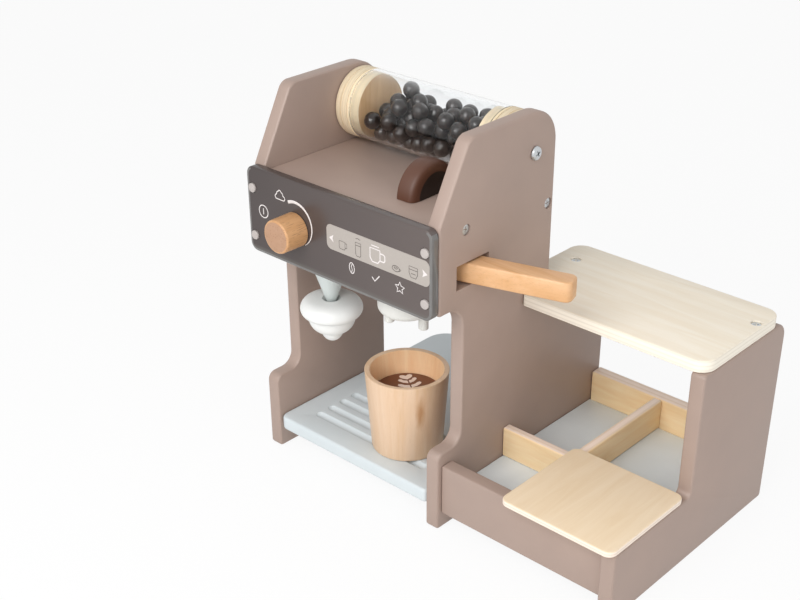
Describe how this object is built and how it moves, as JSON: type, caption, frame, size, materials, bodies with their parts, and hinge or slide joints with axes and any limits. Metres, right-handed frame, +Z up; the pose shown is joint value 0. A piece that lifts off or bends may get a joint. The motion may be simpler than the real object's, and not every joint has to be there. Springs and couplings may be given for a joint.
{
  "type": "toy coffee maker",
  "caption": "Wooden toy coffee maker with a see-through bean drum, a swinging portafilter, a turning dial, a hang-on milk foam, a cup and a side station with shelf and lid",
  "frame": {"origin": "middle of the whole toy's footprint at floor height", "axes": "+X to the right along the front, from the machine towards the side station; +Y to the back, away from the control plate; +Z up"},
  "size_m": [0.3526, 0.2368, 0.3088],
  "materials": {
    "taupe_paint": "satin water-based paint on birch plywood",
    "grey_paint": "satin pale blue-grey paint on plywood",
    "white_paint": "satin white paint on turned wood",
    "pale_grey_paint": "satin pale grey paint on turned wood",
    "coffee_paint": "satin coffee brown paint with a printed top",
    "chocolate_paint": "satin dark brown paint",
    "bead_paint": "glossy dark grey lacquer on round wooden beads",
    "beech": "oiled beech",
    "light_beech": "clear-lacquered light beech",
    "birch": "clear-lacquered birch plywood",
    "smoked_acrylic": "polished smoked acrylic",
    "clear_tube": "clear plastic tube",
    "zinc_steel": "bright zinc plate"
  },
  "bodies": {
    "frame": {"left_side_panel": "taupe_paint", "right_side_panel": "taupe_paint", "top_board": "taupe_paint", "rear_rail": "taupe_paint", "base_board": "grey_paint", "control_plate": "smoked_acrylic", "plate_screw_1": "zinc_steel", "plate_screw_2": "zinc_steel", "plate_screw_3": "zinc_steel", "plate_screw_4": "zinc_steel", "half_disc": "chocolate_paint", "half_disc_screw": "zinc_steel", "drum_screw_left": "zinc_steel", "drum_screw_right": "zinc_steel", "drum_beads": "bead_paint", "brew_head": "white_paint", "portafilter_bolt": "zinc_steel", "steam_nozzle": "pale_grey_paint", "nozzle_magnet": "zinc_steel", "frame_screw_1": "zinc_steel", "frame_screw_2": "zinc_steel", "frame_screw_3": "zinc_steel", "frame_screw_4": "zinc_steel", "base_screw_1": "zinc_steel", "base_screw_2": "zinc_steel", "station_floor": "grey_paint", "front_rail": "taupe_paint", "back_rail": "birch", "cross_divider": "birch", "long_divider": "birch", "shelf": "birch", "shelf_screw_left": "zinc_steel", "shelf_screw_right": "zinc_steel", "end_panel": "taupe_paint", "base_dowel_1": "birch", "base_dowel_2": "birch"},
    "dial": {"dial_knob": "beech", "dial_bolt": "zinc_steel"},
    "drum": {"drum_tube": "clear_tube", "drum_disc_left": "birch", "drum_disc_right": "birch", "drum_plug_left": "birch", "drum_plug_right": "birch"},
    "portafilter": {"portafilter_bowl": "white_paint", "spout_left": "white_paint", "spout_right": "white_paint", "portafilter_handle": "beech"},
    "foam": {"foam_swirl": "white_paint", "swirl_magnet": "zinc_steel"},
    "cup": {"cup": "light_beech"},
    "coffee": {"coffee_disc": "coffee_paint"},
    "lid": {"station_lid": "birch"}
  },
  "joints": [
    {"name": "dial_turn", "type": "hinge", "parent": "frame", "child": "dial", "pos_m": [-0.12015, -0.1101, 0.2148], "axis": [0, 1, 0], "continuous": true},
    {"name": "drum_turn", "type": "hinge", "parent": "frame", "child": "drum", "pos_m": [-0.07865, 0.0131, 0.278], "axis": [1, 0, 0], "continuous": true},
    {"name": "portafilter_swing", "type": "hinge", "parent": "frame", "child": "portafilter", "pos_m": [-0.03815, -0.0658, 0.19], "axis": [0, 0, 1], "range_deg": [-11, 3.5]},
    {"name": "foam_pull", "type": "slide", "parent": "frame", "child": "foam", "axis": [0, 0, -1], "range_m": [0, 0.04]},
    {"name": "cup_out", "type": "slide", "parent": "frame", "child": "cup", "axis": [0, -1, 0], "range_m": [0, 0.12]},
    {"name": "coffee_out", "type": "slide", "parent": "cup", "child": "coffee", "axis": [0, 0, 1], "range_m": [0, 0.03]},
    {"name": "lid_off", "type": "slide", "parent": "frame", "child": "lid", "axis": [0, 0, 1], "range_m": [0, 0.06]}
  ]
}
